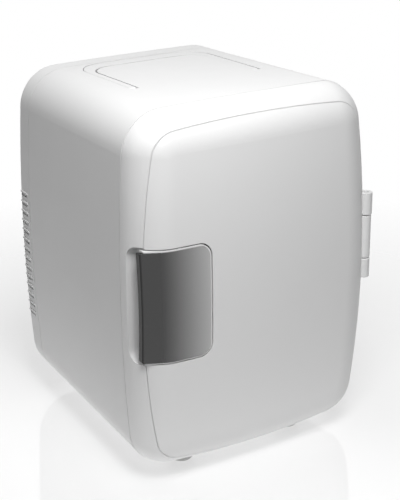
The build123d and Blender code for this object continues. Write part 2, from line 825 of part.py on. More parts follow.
def door_panel():
    skin = (front_0 - front_wall) & slice_y(front_y - 5, door_y)
    walls = span_y(front_y - 5, recess_floor_y + recess_floor_t, recess_plan(recess_wall)) & front_0
    backing = hinge_backing & front_0 & slice_y(front_y - 5, door_y)
    panel = skin + walls + backing
    panel -= span_y(front_y - 5, recess_floor_y, recess_plan(0.0))
    panel -= window_room
    panel -= cabinet_room
    panel += knuckle(knuckle_r, mid_knuckle_z, mid_knuckle_l)
    panel -= hinge_bore
    for x, z in door_screw_places():
        boss = rod_y(boss_r, front_y, flange_y, x, z) & front_0
        panel += boss
        panel -= rod_y(screw_r, door_screw_seat - door_screw_l - 0.3, flange_y + 1, x, z)
    panel -= rod_z(latch_pin_r + 0.02, latch_z - latch_h / 2 - 1.5, latch_z + latch_h / 2 + 1.5,
                   latch_pin_x, latch_pin_y)
    return panel


def door_screw_places():
    return [(x, mid_z + z) for x in (-door_screw_x, door_screw_x) for z in (-door_screw_z, door_screw_z)]


door_screw_seat = door_y - screw_head_t
plug_w = cavity_w - 2 * plug_gap
plug_h = cavity_h - 2 * plug_gap
plug_y = door_y + plug_depth


def door_liner():
    flange = front_inner & slice_y(flange_y, door_y)
    flange -= hinge_backing
    flange -= window_room
    plug = span_y(flange_y, plug_y, Pos(0, mid_z) * RectangleRounded(plug_w, plug_h, cavity_r - plug_gap))
    hollow = span_y(flange_y - 1, plug_y - plug_t, Pos(0, mid_z) * RectangleRounded(
        plug_w - 2 * plug_t, plug_h - 2 * plug_t, cavity_r - plug_gap - plug_t))
    liner = flange + plug - hollow
    for x, z in door_screw_places():
        liner -= rod_y(screw_r + 0.2, flange_y - 1, door_y + 1, x, z)
        liner -= rod_y(screw_head_r + 0.2, door_screw_seat, door_y + 1, x, z)
    for x in (-peg_x, peg_x):
        peg = rod_y(peg_r, plug_y - plug_t / 2, plug_y + peg_l, x, peg_z)
        liner += peg + rod_y(peg_r + 1.5, plug_y + peg_l - 1.5, plug_y + peg_l, x, peg_z)
    return liner


def door_foam():
    size = RectangleRounded(plug_w - 2 * plug_t - 2 * inner_gap, plug_h - 2 * plug_t - 2 * inner_gap,
                            cavity_r - plug_gap - plug_t - inner_gap)
    back = span_y(flange_y, plug_y - plug_t, Pos(0, mid_z) * size)
    front = span_y(front_y, flange_y, Pos(0, mid_z) * size) & front_inner
    foam = back + front
    foam -= span_y(front_y - 5, recess_floor_y + recess_floor_t + inner_gap,
                   recess_plan(recess_wall + inner_gap))
    return foam


def door_gasket():
    inner_w = gasket_in_w
    inner_h = gasket_in_h
    outer = RectangleRounded(inner_w + 2 * gasket_w, inner_h + 2 * gasket_w, cavity_r + gasket_w)
    ring = span_y(door_y, land_y, Pos(0, mid_z) * outer)
    ring -= span_y(door_y - 1, land_y + 1, Pos(0, mid_z) * RectangleRounded(inner_w, inner_h, cavity_r))
    groove = RectangleRounded(inner_w + gasket_w + 1.6, inner_h + gasket_w + 1.6, cavity_r + gasket_w / 2)
    core = RectangleRounded(inner_w + gasket_w - 1.6, inner_h + gasket_w - 1.6, cavity_r + gasket_w / 2 - 1)
    ring -= span_y(door_y + gasket_t / 2, land_y + 1, Pos(0, mid_z) * (groove - core))
    return ring


def door_screws():
    return [screw(door_screw_seat, door_screw_l, x, z) for x, z in door_screw_places()]


# ---- latch ----
def latch_plate():
    shell = front_form(-plate_proud) - front_form(plate_t - plate_proud - plate_fit)
    return shell & span_y(front_y - 5, frame_y, lever_plan(lever_rim))


def latch_lever():
    back = front_form(lever_back)
    back_y = door_y + lever_reach
    plan = span_y(front_y - 5, back_y, lever_plan(0.0))
    facing = span_y(front_y - 5, back_y, lever_plan(lever_rim - 0.05)) - front_form(plate_t - plate_proud)
    lever = (front_form(-0.1) & plan) - back
    lever -= facing
    lever -= block(-far, latch_left + 3.0, -far, far, -far, far)
    half = latch_h / 2 - latch_gap - 0.5
    for z0 in (latch_z - half, latch_z + half - latch_boss_l):
        z1 = z0 + latch_boss_l
        boss = rod_z(latch_boss_r, z0, z1, latch_pin_x, latch_pin_y)
        web = block(latch_pin_x - latch_boss_r, latch_pin_x + latch_boss_r, front_y - 5, latch_pin_y, z0, z1)
        lever += (boss + web) & front_form(plate_t - plate_proud + 0.1)
    arm = block(hook_x, hook_x + hook_t, front_y, hook_end_y, latch_z - hook_h / 2, latch_z + hook_h / 2)
    lever += arm & front_form(lever_back - 0.5)
    tip = Polyline((hook_x + hook_t - 0.5, hook_end_y - 4.2), (hook_x + hook_t, hook_end_y - 4.2),
                   (barb_x, hook_end_y - 2.4), (hook_x + hook_t, hook_end_y),
                   (hook_x + hook_t - 0.5, hook_end_y), close=True)
    barb_solid = extrude(Plane.XY.offset(latch_z - hook_h / 2) * make_face(tip), hook_h)
    lever += barb_solid
    lever -= rod_z(latch_pin_r + pin_fit, 0, far, latch_pin_x, latch_pin_y)
    spring_room = spring_coil_r + spring_wire_r + inner_gap
    lever -= rod_z(spring_room, spring_z - 1, spring_z + spring_pitch * spring_turns + 1,
                   latch_pin_x, latch_pin_y)
    return lever


spring_z = latch_z - latch_h / 2 + latch_boss_l + 4


def latch_pin():
    return rod_z(latch_pin_r, latch_z - latch_h / 2 - 1.5, latch_z + latch_h / 2 + 1.5,
                 latch_pin_x, latch_pin_y)


def latch_spring():
    coil = Helix(spring_pitch, spring_pitch * spring_turns, spring_coil_r)
    wire = Plane(origin=coil @ 0, z_dir=coil % 0) * Circle(spring_wire_r)
    return Pos(latch_pin_x, latch_pin_y, spring_z) * sweep(wire, path=coil)


# ---- handle ----
def carry_handle():
    outer_w = 2 * (handle_half - handle_gap)
    y1 = channel_rear - handle_gap
    outer = Pos(0, (pivot_y + y1) / 2) * Rectangle(outer_w, y1 - pivot_y)
    outer = fillet(outer.vertices().group_by(Axis.Y)[-1], channel_r - handle_gap)
    inner_w = 2 * (handle_half - channel_w + handle_gap)
    inner_y1 = y1 - grip_w
    inner = Pos(0, (inner_y1 - far) / 2) * Rectangle(inner_w, inner_y1 + far)
    inner = fillet(inner.vertices().group_by(Axis.Y)[-1], channel_r - channel_w + handle_gap)
    plan = outer - inner
    rise = extrude(Plane.XY * plan, far)
    skin = rear_form(frame_y, cover_y, skin_gap)
    under = Pos(0, 0, -arm_t) * skin
    bail = (rise & skin) - under
    grip_zone = block(-far, far, channel_rear - channel_bar, y1, 0, far)
    bail += (rise & skin & grip_zone) - Pos(0, 0, -grip_t) * skin
    arm_x0 = handle_half - channel_w + handle_gap
    arm_x1 = handle_half - handle_gap
    for boss in both(rod_x(pivot_r, arm_x0, arm_x1, pivot_y, pivot_z)):
        bail += boss
    for hole in both(rod_x(handle_pin_r + pin_fit, arm_x0 - 1, arm_x1 + 1, pivot_y, pivot_z)):
        bail -= hole
    return bail


def handle_pins():
    return both(rod_x(handle_pin_r, handle_pin_x0 + 0.1, handle_pin_x1 - 0.1, pivot_y, pivot_z))


# ---- loose fittings ----
def shelf():
    z0 = cavity_base + ledge_z
    half = cavity_w / 2 - shelf_gap
    y1 = cavity_rear - shelf_gap
    y0 = y1 - shelf_d
    plate = block(-half, half, y0, y1, z0, z0 + shelf_t)
    plate += block(-half + 8, half - 8, y0, y0 + 2.5, z0, z0 + shelf_t + 7)
    count = int((2 * half - 24) / shelf_pitch)
    for i in range(count + 1):
        x = (i - count / 2) * shelf_pitch
        plate -= block(x - shelf_slot / 2, x + shelf_slot / 2, y0 + 12, y1 - 8, z0 - 1, z0 + shelf_t + 1)
    return plate


peg_z = cavity_base + bin_z + bin_h - 5.0


def door_bin():
    y0 = plug_y + inner_gap
    y1 = y0 + bin_d
    z0 = cavity_base + bin_z
    half = bin_w / 2
    tray = block(-half, half, y0, y1, z0, z0 + bin_h)
    tray = fillet(tray.edges().filter_by(Axis.Z), 3.0)
    tray -= block(-half + bin_t, half - bin_t, y0 + bin_t + peg_l, y1 - bin_t, z0 + bin_t, far)
    tray -= block(-far, far, y0 + bin_t + peg_l, far, z0 + bin_h * 0.72, far)
    for x in (-peg_x, peg_x):
        tray -= block(x - peg_r - 0.3, x + peg_r + 0.3, y0 - 1, y0 + peg_l - 1.2,
                      0, peg_z + peg_r + 0.3)
        tray -= block(x - peg_r - 1.9, x + peg_r + 1.9, y0 + peg_l - 2.2, y0 + peg_l + 0.3,
                      0, peg_z + peg_r + 1.9)
    return tray


# ---- feet ----
def foot(x, y):
    skin = rear_form(frame_y, cover_y, -0.05)
    pad = rod_z(foot_r, 0, 20, x, y) - skin
    pad = pad.solids().sort_by(Axis.Z)[0]
    pad = fillet(pad.edges().group_by(Axis.Z)[0], 2.2)
    stem_top = top_of_floor(x, y) + 3.4
    stem = rod_z(foot_stem_r, 3, stem_top, x, y)
    barb_z = top_of_floor(x, y) + 0.3
    knob = rod_z(foot_stem_r + 1.2, barb_z, stem_top, x, y)
    return pad + stem + knob


def top_of_floor(x, y):
    """Height of the inside of the shell's floor above one foot."""
    floor_z = 2 * mid_z - top_z(y)
    return floor_z + base_bow * (x / (body_w / 2 - side_bow)) ** 2 + wall + 0.5


# ---- write every node ----
save("outer_shell", outer_shell())
save("front_frame", front_frame())
save("rear_cover", rear_cover())
save("inner_liner", inner_liner())
save("cabinet_foam", cabinet_foam())
save("rear_bulkhead", rear_bulkhead())
save("cold_block", cold_block())
save("peltier_module", peltier_module())
save("module_seal", module_seal())
save("heat_sink", heat_sink())
sink_screw_seat = sink_front + sink_base
save("heat_sink_screws", *[screw(sink_screw_seat, 16.0, x, z) for x, z in sink_screw_places()])
save("fan_frame", fan_frame())
save("fan_rotor", fan_rotor())
save("fan_screws", *[screw(rear_y, 15.0, x, z) for x, z in fan_hole_places()])
save("power_board", power_board())
save("board_parts", *board_parts())
save("board_screws", *[screw(board_y + board_t, 5.0, x, z) for x, z in board_corners()])
save("mains_inlet", mains_inlet())
save("mains_pins", *mains_pins())
save("car_inlet", car_inlet())
save("car_inlet_pin", car_pin())
save("switch_housing", switch_housing())
save("switch_rocker", switch_rocker())
save("mode_lights", *mode_lights())
cover_screw_places = [(x, mid_z + z) for x in (-pillar_x, pillar_x) for z in (-pillar_z, pillar_z)]
save("rear_cover_screws", *[screw(rear_y, 12.0, x, z) for x, z in cover_screw_places])
for name, (x, y) in zip(("front_left", "front_right", "rear_left", "rear_right"), foot_places()):
    save(f"foot_{name}", foot(x, y))
save("handle_pins", *handle_pins())
save("carry_handle", carry_handle())
save("hinge_pin", rod_z(hinge_pin_r, base_knuckle_z + hinge_pin_short + 0.1, stack_top - hinge_pin_short,
                        hinge_x, hinge_y))
save("door_panel", door_panel())
save("door_liner", door_liner())
save("door_foam", door_foam())
save("door_gasket", door_gasket())
save("door_screws", *door_screws())
save("latch_lever", latch_lever())
save("latch_plate", latch_plate())
save("latch_pin", latch_pin())
save("latch_spring", latch_spring())
save("shelf", shelf())
save("door_bin", door_bin())
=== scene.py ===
import json
import math
import bmesh
import bpy
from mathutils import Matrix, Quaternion, Vector


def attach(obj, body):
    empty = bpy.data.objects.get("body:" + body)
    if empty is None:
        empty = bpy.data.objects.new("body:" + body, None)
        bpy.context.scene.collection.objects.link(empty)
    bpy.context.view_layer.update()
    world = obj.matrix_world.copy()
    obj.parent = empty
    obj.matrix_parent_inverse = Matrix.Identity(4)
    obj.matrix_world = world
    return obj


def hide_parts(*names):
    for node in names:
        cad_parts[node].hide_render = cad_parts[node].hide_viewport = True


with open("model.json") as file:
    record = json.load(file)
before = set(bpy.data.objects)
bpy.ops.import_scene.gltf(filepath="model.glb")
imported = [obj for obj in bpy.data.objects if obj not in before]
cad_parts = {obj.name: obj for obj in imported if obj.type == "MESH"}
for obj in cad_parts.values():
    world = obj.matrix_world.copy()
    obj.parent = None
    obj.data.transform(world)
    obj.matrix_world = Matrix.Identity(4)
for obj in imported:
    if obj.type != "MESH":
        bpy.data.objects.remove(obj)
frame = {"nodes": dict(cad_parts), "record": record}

scene = bpy.context.scene
cadNodes = frame["nodes"]
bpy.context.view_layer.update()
bodies = frame["record"]["behaviour"]["bodies"]
bodyOf = {node: body for body, members in bodies.items() for node in members}
slotOf = {part["node"]: part["material_slot"] for part in frame["record"]["subparts"]}
millimetre = 0.001
mergeDistance = 1e-7
print("stage: frame loaded,", len(cadNodes), "nodes")


def connect(tree, value, socket):
    if isinstance(value, bpy.types.NodeSocket):
        tree.links.new(value, socket)
    else:
        socket.default_value = value


def addNode(tree, kind, settings=None, **inputs):
    made = tree.nodes.new(kind)
    for key, value in (settings or {}).items():
        setattr(made, key, value)
    for key, value in inputs.items():
        connect(tree, value, made.inputs[key.replace("_", " ")])
    return made


def noiseOf(tree, coords, scale, detail=2.0, roughness=0.5):
    noise = addNode(tree, "ShaderNodeTexNoise", Vector=coords, Scale=scale, Detail=detail, Roughness=roughness)
    return noise.outputs["Fac"]


def rangeOf(tree, value, low, high, fromLow=0.0, fromHigh=1.0):
    ranged = addNode(tree, "ShaderNodeMapRange", Value=value, From_Min=fromLow, From_Max=fromHigh,
                     To_Min=low, To_Max=high)
    return ranged.outputs["Result"]


def mixColour(tree, factor, first, second):
    mix = addNode(tree, "ShaderNodeMix", {"data_type": "RGBA"})
    factorSocket, firstSocket, secondSocket, resultSocket = 0, 6, 7, 2
    connect(tree, factor, mix.inputs[factorSocket])
    connect(tree, first, mix.inputs[firstSocket])
    connect(tree, second, mix.inputs[secondSocket])
    return mix.outputs[resultSocket]


def plainMath(tree, operation, first, second, clamp=False):
    maths = addNode(tree, "ShaderNodeMath", {"operation": operation, "use_clamp": clamp})
    connect(tree, first, maths.inputs[0])
    connect(tree, second, maths.inputs[1])
    return maths.outputs[0]


def combine(tree, operation, first, second):
    return plainMath(tree, operation, first, second, clamp=True)


def times(tree, value, factor):
    return plainMath(tree, "MULTIPLY", value, factor)


def grey(value):
    return (value, value, value, 1.0)


def shade(colour, factor):
    return tuple(min(1.0, c * factor) for c in colour[:3]) + (1.0,)


def startMaterial(name):
    material = bpy.data.materials.new(name)
    material.use_nodes = True
    tree = material.node_tree
    shader = tree.nodes["Principled BSDF"]
    coords = tree.nodes.new("ShaderNodeTexCoord").outputs["Object"]
    return material, tree, shader, coords


def alongX(tree, coords, start, end):
    apart = addNode(tree, "ShaderNodeSeparateXYZ", Vector=coords)
    return rangeOf(tree, apart.outputs["X"], 0.0, 1.0, start * millimetre, end * millimetre)


# edges are where the rounded normal and the plain one part
edgeLook = {"samples": 4, "apart": (0.65, 0.98)}


def edgeMask(tree, radius):
    rounded = addNode(tree, "ShaderNodeBevel", {"samples": edgeLook["samples"]}, Radius=radius)
    plain = tree.nodes.new("ShaderNodeNewGeometry")
    dot = addNode(tree, "ShaderNodeVectorMath", {"operation": "DOT_PRODUCT"})
    tree.links.new(rounded.outputs["Normal"], dot.inputs[0])
    tree.links.new(plain.outputs["Normal"], dot.inputs[1])
    return rounded.outputs["Normal"], rangeOf(tree, dot.outputs["Value"], 1.0, 0.0, *edgeLook["apart"])


def setGloss(tree, shader, noise, gloss):
    rough = rangeOf(tree, noise, *gloss, *noiseSpan)
    tree.links.new(rough, shader.inputs["Roughness"])


noiseSpan = (0.3, 0.7)        # where nearly all values of a noise lie
plasticIndex = 1.49
plasticLook = {
    "clouds": (9.0, 3.0), "blotch": (55.0, 4.0, 0.6), "waves": (26.0, 1.0), "grainDetail": (2.0, 0.55),
    "cloudSpan": (0.35, 0.65), "wearSpan": (0.42, 0.62), "edgePolish": 0.08,
    "waveDepth": 0.0004, "grainDepth": 0.00004, "coatRoughness": 0.08, "endShadeSheen": 0.3,
}


def plasticMaterial(name, look):
    shared = plasticLook
    material, tree, shader, coords = startMaterial(name)
    softNormal, edges = edgeMask(tree, look["edge"] * millimetre)
    clouds = noiseOf(tree, coords, *shared["clouds"])
    blotch = noiseOf(tree, coords, *shared["blotch"])
    grain = noiseOf(tree, coords, look["grainScale"], *shared["grainDetail"])
    drift = rangeOf(tree, clouds, 0.0, 1.0, *shared["cloudSpan"])
    colour = mixColour(tree, drift, look["colour"], shade(look["colour"], look["drift"]))
    # painted reflection: the base colour lightens towards the latch's right end, standing in for light on the
    # facing
    if "paintedReflectionColour" in look:
        share = plainMath(tree, "POWER", alongX(tree, coords, *look["paintedReflectionFrom"]), look["paintedReflectionCurve"])
        colour = mixColour(tree, share, colour, look["paintedReflectionColour"])
    patches = rangeOf(tree, blotch, 0.0, look["wear"], *shared["wearSpan"])
    colour = mixColour(tree, combine(tree, "MULTIPLY", edges, patches), colour, look["wornColour"])
    tree.links.new(colour, shader.inputs["Base Color"])
    smears = rangeOf(tree, blotch, *look["gloss"], *noiseSpan)
    polish = combine(tree, "MULTIPLY", edges, shared["edgePolish"])
    tree.links.new(combine(tree, "SUBTRACT", smears, polish), shader.inputs["Roughness"])
    sink = addNode(tree, "ShaderNodeBump", Strength=look["wave"], Distance=shared["waveDepth"],
                   Height=noiseOf(tree, coords, *shared["waves"]), Normal=softNormal)
    fine = addNode(tree, "ShaderNodeBump", Strength=look["grain"], Distance=shared["grainDepth"],
                   Height=grain, Normal=sink.outputs["Normal"])
    tree.links.new(fine.outputs["Normal"], shader.inputs["Normal"])
    shader.inputs["IOR"].default_value = plasticIndex
    shader.inputs["Specular IOR Level"].default_value = look.get("specular", 0.5)
    # painted shade: specular and coat drop at the latch's free end so its end face looks shadowed
    if "coat" in look:
        sheen = rangeOf(tree, alongX(tree, coords, *look["endShadeFrom"]), shared["endShadeSheen"], 1.0)
        tree.links.new(times(tree, sheen, look["specular"]), shader.inputs["Specular IOR Level"])
        tree.links.new(times(tree, sheen, look["coat"]), shader.inputs["Coat Weight"])
        shader.inputs["Coat Roughness"].default_value = shared["coatRoughness"]
    return material


metalLook = {
    "strokes": (60.0, 4.0, 0.65), "tarnish": (70.0, 4.0, 0.6), "tarnishSpan": (0.38, 0.68),
    "edgeHighlightShare": 0.5, "edgeHighlightLift": 1.15, "grainDepth": 0.00003,
}


def metalMaterial(name, look):
    shared = metalLook
    material, tree, shader, coords = startMaterial(name)
    softNormal, edges = edgeMask(tree, look["edge"] * millimetre)
    stretch = addNode(tree, "ShaderNodeMapping", Vector=coords, Scale=look["brush"])
    strokes = noiseOf(tree, stretch.outputs["Vector"], *shared["strokes"])
    tarnish = rangeOf(tree, noiseOf(tree, coords, *shared["tarnish"]), 0.0, 1.0, *shared["tarnishSpan"])
    colour = mixColour(tree, tarnish, look["colour"], look["dull"])
    # painted highlight: metal edges are painted lighter in the base colour
    edgeHighlight = combine(tree, "MULTIPLY", edges, shared["edgeHighlightShare"])
    colour = mixColour(tree, edgeHighlight, colour, shade(look["colour"], shared["edgeHighlightLift"]))
    tree.links.new(colour, shader.inputs["Base Color"])
    shader.inputs["Metallic"].default_value = 1.0
    setGloss(tree, shader, strokes, look["gloss"])
    bump = addNode(tree, "ShaderNodeBump", Strength=look["grain"], Distance=shared["grainDepth"],
                   Height=strokes, Normal=softNormal)
    tree.links.new(bump.outputs["Normal"], shader.inputs["Normal"])
    return material


foamLook = {
    "clouds": (30.0, 4.0), "roughness": (0.75, 0.95), "cellReach": (0.0, 0.5), "cellShade": (0.2, 0.7),
    "bump": 0.7, "bumpDepth": 0.0003,
}


def foamMaterial(name, look):
    shared = foamLook
    material, tree, shader, coords = startMaterial(name)
    cells = addNode(tree, "ShaderNodeTexVoronoi", Vector=coords, Scale=look["cells"])
    distance = cells.outputs["Distance"]
    clouds = noiseOf(tree, coords, *shared["clouds"])
    colour = mixColour(tree, clouds, look["colour"], look["shadow"])
    walls = rangeOf(tree, distance, *shared["cellReach"], *shared["cellShade"])
    colour = mixColour(tree, walls, colour, look["shadow"])
    tree.links.new(colour, shader.inputs["Base Color"])
    tree.links.new(rangeOf(tree, clouds, *shared["roughness"]), shader.inputs["Roughness"])
    bump = addNode(tree, "ShaderNodeBump", Strength=shared["bump"], Distance=shared["bumpDepth"],
                   Height=distance)
    tree.links.new(bump.outputs["Normal"], shader.inputs["Normal"])
    return material


boardLook = {
    "trackScale": 90.0, "trackOffset": 0.5, "trackGap": 0.06, "clouds": (120.0, 3.0), "cloudShare": 0.4,
    "cloudShade": 0.6, "roughness": (0.25, 0.5), "bump": 0.3, "bumpDepth": 0.00005, "coat": 0.4,
}


def boardMaterial(name, look):
    shared = boardLook
    material, tree, shader, coords = startMaterial(name)
    upright = addNode(tree, "ShaderNodeMapping", Vector=coords, Rotation=(math.radians(90), 0.0, 0.0))
    tracks = addNode(tree, "ShaderNodeTexBrick", {"offset": shared["trackOffset"]},
                     Vector=upright.outputs["Vector"], Scale=shared["trackScale"],
                     Mortar_Size=shared["trackGap"])
    clouds = noiseOf(tree, coords, *shared["clouds"])
    colour = mixColour(tree, tracks.outputs["Fac"], look["colour"], look["track"])
    stain = rangeOf(tree, clouds, 0.0, shared["cloudShare"])
    colour = mixColour(tree, stain, colour, shade(look["colour"], shared["cloudShade"]))
    tree.links.new(colour, shader.inputs["Base Color"])
    tree.links.new(rangeOf(tree, clouds, *shared["roughness"]), shader.inputs["Roughness"])
    bump = addNode(tree, "ShaderNodeBump", Strength=shared["bump"], Distance=shared["bumpDepth"],
                   Height=tracks.outputs["Fac"])
    tree.links.new(bump.outputs["Normal"], shader.inputs["Normal"])
    shader.inputs["Coat Weight"].default_value = shared["coat"]
    return material


clearLook = {"clouds": (45.0, 4.0, 0.6), "grainScale": 1800.0, "edgeHighlightLift": 1.1, "bump": 0.15,
             "bumpDepth": 0.00004}


def clearMaterial(name, look):
    shared = clearLook
    material, tree, shader, coords = startMaterial(name)
    softNormal, edges = edgeMask(tree, look["edge"] * millimetre)
    # painted highlight: clear parts are painted lighter along their edges
    colour = mixColour(tree, edges, look["colour"], shade(look["colour"], shared["edgeHighlightLift"]))
    tree.links.new(colour, shader.inputs["Base Color"])
    setGloss(tree, shader, noiseOf(tree, coords, *shared["clouds"]), look["gloss"])
    bump = addNode(tree, "ShaderNodeBump", Strength=shared["bump"], Distance=shared["bumpDepth"],
                   Height=noiseOf(tree, coords, shared["grainScale"]), Normal=softNormal)
    tree.links.new(bump.outputs["Normal"], shader.inputs["Normal"])
    shader.inputs["Transmission Weight"].default_value = look["clear"]
    shader.inputs["IOR"].default_value = plasticIndex
    return material


white = grey(0.805)
rubbedWhite = (0.72, 0.71, 0.69, 1)
finishes = {
    "shellWhite": (plasticMaterial, {
        "colour": white, "drift": 0.985, "wornColour": rubbedWhite, "wear": 0.5, "gloss": (0.33, 0.43),
        "grainScale": 2600.0, "grain": 0.10, "wave": 0.05, "edge": 0.35, "specular": 0.35}),
    "doorWhite": (plasticMaterial, {
        "colour": white, "drift": 0.99, "wornColour": rubbedWhite, "wear": 0.4, "gloss": (0.30, 0.38),
        "grainScale": 3000.0, "grain": 0.08, "wave": 0.05, "edge": 0.35, "specular": 0.35}),
    "innerWhite": (plasticMaterial, {
        "colour": (0.74, 0.76, 0.77, 1), "drift": 0.97, "wornColour": (0.62, 0.61, 0.58, 1), "wear": 0.5,
        "gloss": (0.24, 0.36), "grainScale": 1500.0, "grain": 0.06, "wave": 0.08, "edge": 0.3}),
    "latchGrey": (plasticMaterial, {
        "colour": grey(0.0145), "drift": 1.06, "wornColour": grey(0.2), "wear": 0.35, "gloss": (0.16, 0.24),
        # painted reflection gradient, lighter from x -84 to -46 mm
        "paintedReflectionFrom": (-84.0, -46.0), "paintedReflectionColour": grey(0.48), "paintedReflectionCurve": 1.27,
        "grainScale": 3500.0, "grain": 0.05, "wave": 0.06, "edge": 0.3,
        "specular": 0.5, "coat": 0.5, "endShadeFrom": (-96.2, -95.0)}),
    "blackFine": (plasticMaterial, {
        "colour": (0.022, 0.022, 0.023, 1), "drift": 1.3, "wornColour": grey(0.09), "wear": 0.7,
        "gloss": (0.42, 0.6), "grainScale": 1700.0, "grain": 0.35, "wave": 0.05, "edge": 0.25}),
    "rockerGloss": (plasticMaterial, {
        "colour": (0.012, 0.012, 0.013, 1), "drift": 1.3, "wornColour": grey(0.06), "wear": 0.7,
        "gloss": (0.15, 0.28), "grainScale": 2500.0, "grain": 0.05, "wave": 0.05, "edge": 0.3}),
    "partsDark": (plasticMaterial, {
        "colour": (0.03, 0.035, 0.06, 1), "drift": 1.4, "wornColour": grey(0.3), "wear": 0.6,
        "gloss": (0.3, 0.5), "grainScale": 1200.0, "grain": 0.15, "wave": 0.05, "edge": 0.3}),
    "moduleWhite": (plasticMaterial, {
        "colour": (0.82, 0.82, 0.78, 1), "drift": 0.94, "wornColour": (0.6, 0.6, 0.55, 1), "wear": 0.6,
        "gloss": (0.5, 0.7), "grainScale": 900.0, "grain": 0.3, "wave": 0.02, "edge": 0.2}),
    "sealRubber": (plasticMaterial, {
        "colour": (0.42, 0.43, 0.44, 1), "drift": 0.9, "wornColour": grey(0.55), "wear": 0.6,
        "gloss": (0.55, 0.75), "grainScale": 1400.0, "grain": 0.4, "wave": 0.1, "edge": 0.3,
        "specular": 0.35}),
    "footRubber": (plasticMaterial, {
        "colour": (0.66, 0.66, 0.65, 1), "drift": 0.92, "wornColour": (0.45, 0.44, 0.42, 1), "wear": 0.8,
        "gloss": (0.5, 0.7), "grainScale": 1300.0, "grain": 0.4, "wave": 0.1, "edge": 0.5,
        "specular": 0.35}),
    "linerMetal": (metalMaterial, {
        "colour": (0.74, 0.75, 0.76, 1), "dull": (0.66, 0.67, 0.68, 1), "brush": (1, 1, 14),
        "gloss": (0.28, 0.42), "grain": 0.2, "edge": 0.4}),
    "sinkMetal": (metalMaterial, {
        "colour": (0.70, 0.71, 0.72, 1), "dull": (0.58, 0.59, 0.6, 1), "brush": (14, 14, 1),
        "gloss": (0.32, 0.5), "grain": 0.3, "edge": 0.2}),
    "screwSteel": (metalMaterial, {
        "colour": (0.60, 0.60, 0.61, 1), "dull": (0.45, 0.45, 0.44, 1), "brush": (3, 3, 3),
        "gloss": (0.25, 0.45), "grain": 0.2, "edge": 0.12}),
    "pinSteel": (metalMaterial, {
        "colour": (0.62, 0.62, 0.63, 1), "dull": grey(0.5), "brush": (2, 2, 12),
        "gloss": (0.2, 0.36), "grain": 0.15, "edge": 0.15}),
    "springSteel": (metalMaterial, {
        "colour": (0.42, 0.43, 0.45, 1), "dull": grey(0.3), "brush": (2, 2, 2),
        "gloss": (0.25, 0.4), "grain": 0.1, "edge": 0.05}),
    "contactBrass": (metalMaterial, {
        "colour": (0.78, 0.62, 0.34, 1), "dull": (0.6, 0.47, 0.27, 1), "brush": (2, 12, 2),
        "gloss": (0.2, 0.38), "grain": 0.15, "edge": 0.1}),
    "foam": (foamMaterial, {
        "colour": (0.86, 0.78, 0.58, 1), "shadow": (0.66, 0.56, 0.36, 1), "cells": 900.0}),
    "boardGreen": (boardMaterial, {"colour": (0.02, 0.16, 0.06, 1), "track": (0.05, 0.3, 0.12, 1)}),
    "lightLens": (clearMaterial, {
        "colour": (0.8, 0.22, 0.14, 1), "gloss": (0.08, 0.2), "clear": 0.6, "edge": 0.2}),
    "frostedClear": (clearMaterial, {
        "colour": (0.86, 0.91, 0.93, 1), "gloss": (0.18, 0.3), "clear": 0.75, "edge": 0.3}),
}
materials = {name: build(name, look) for name, (build, look) in finishes.items()}
finishOfSlot = {
    "shell_white": "shellWhite", "door_white": "doorWhite", "frame_white": "shellWhite",
    "handle_white": "shellWhite", "inner_white": "innerWhite", "latch_grey": "latchGrey",
    "liner_metal": "linerMetal", "sink_metal": "sinkMetal", "foam": "foam", "seal_rubber": "sealRubber",
    "foot_rubber": "footRubber", "screw_steel": "screwSteel", "pin_steel": "pinSteel",
    "spring_steel": "springSteel", "contact_brass": "contactBrass", "module_white": "moduleWhite",
    "black_plastic": "blackFine", "rocker_black": "rockerGloss", "board_green": "boardGreen",
    "parts_dark": "partsDark", "light_lens": "lightLens", "shelf_clear": "frostedClear",
}
print("stage:", len(materials), "materials")


def register(piece, node):
    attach(piece, bodyOf[node])
    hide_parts(node)


def paint(mesh, node):
    mesh.materials.clear()
    mesh.materials.append(materials[finishOfSlot[slotOf[node]]])


# merging the corners lets the edge rounding see across faces, and the normals stay those of the node
def weldedCopy(node, name):
    source = cadNodes[node].data
    mesh = source.copy()
    mesh.name = name
    normals = [tuple(n.vector) for n in source.corner_normals]
    faceCount = len(source.polygons)
    work = bmesh.new()
    work.from_mesh(mesh)
    bmesh.ops.remove_doubles(work, verts=work.verts, dist=mergeDistance)
    sameFaces = len(work.faces) == faceCount
    work.to_mesh(mesh)
    work.free()
    if "custom_normal" in mesh.attributes:
        mesh.attributes.remove(mesh.attributes["custom_normal"])
    if sameFaces:
        mesh.normals_split_custom_set(normals)
    else:
        mesh.set_sharp_from_angle(angle=math.radians(30))
    paint(mesh, node)
    piece = bpy.data.objects.new(name, mesh)
    scene.collection.objects.link(piece)
    register(piece, node)
    return piece


copyNames = {
    "outer_shell": "casingShell", "front_frame": "doorFrame", "rear_cover": "rearCover",
    "door_panel": "doorFront", "door_liner": "doorLiner", "carry_handle": "carryHandle",
    "latch_lever": "latchLever", "latch_plate": "latchFacing", "inner_liner": "coldTub",
    "door_gasket": "doorSeal", "shelf": "slottedShelf", "door_bin": "doorBin",
    "foot_front_left": "footFrontLeft", "foot_front_right": "footFrontRight",
    "foot_rear_left": "footRearLeft", "foot_rear_right": "footRearRight",
}
made = {name: weldedCopy(node, name) for node, name in copyNames.items()}

# the free end of the latch runs on straight where the casing turns away from it, in millimetres
latchBend = {"leaves": -83.0, "cornerCentre": -71.25, "cornerRadius": 29.0, "rimKept": 0.2, "slopeStep": 0.05}


def bendOffset(x):
    bend = latchBend
    if x >= bend["leaves"]:
        return 0.0
    reach = bend["cornerCentre"] - bend["leaves"]
    depth = math.sqrt(bend["cornerRadius"] ** 2 - reach ** 2)
    away = min(bend["cornerCentre"] - x, bend["cornerRadius"] - bend["rimKept"])
    curved = math.sqrt(bend["cornerRadius"] ** 2 - away ** 2)
    return curved - depth + (bend["leaves"] - x) * reach / depth


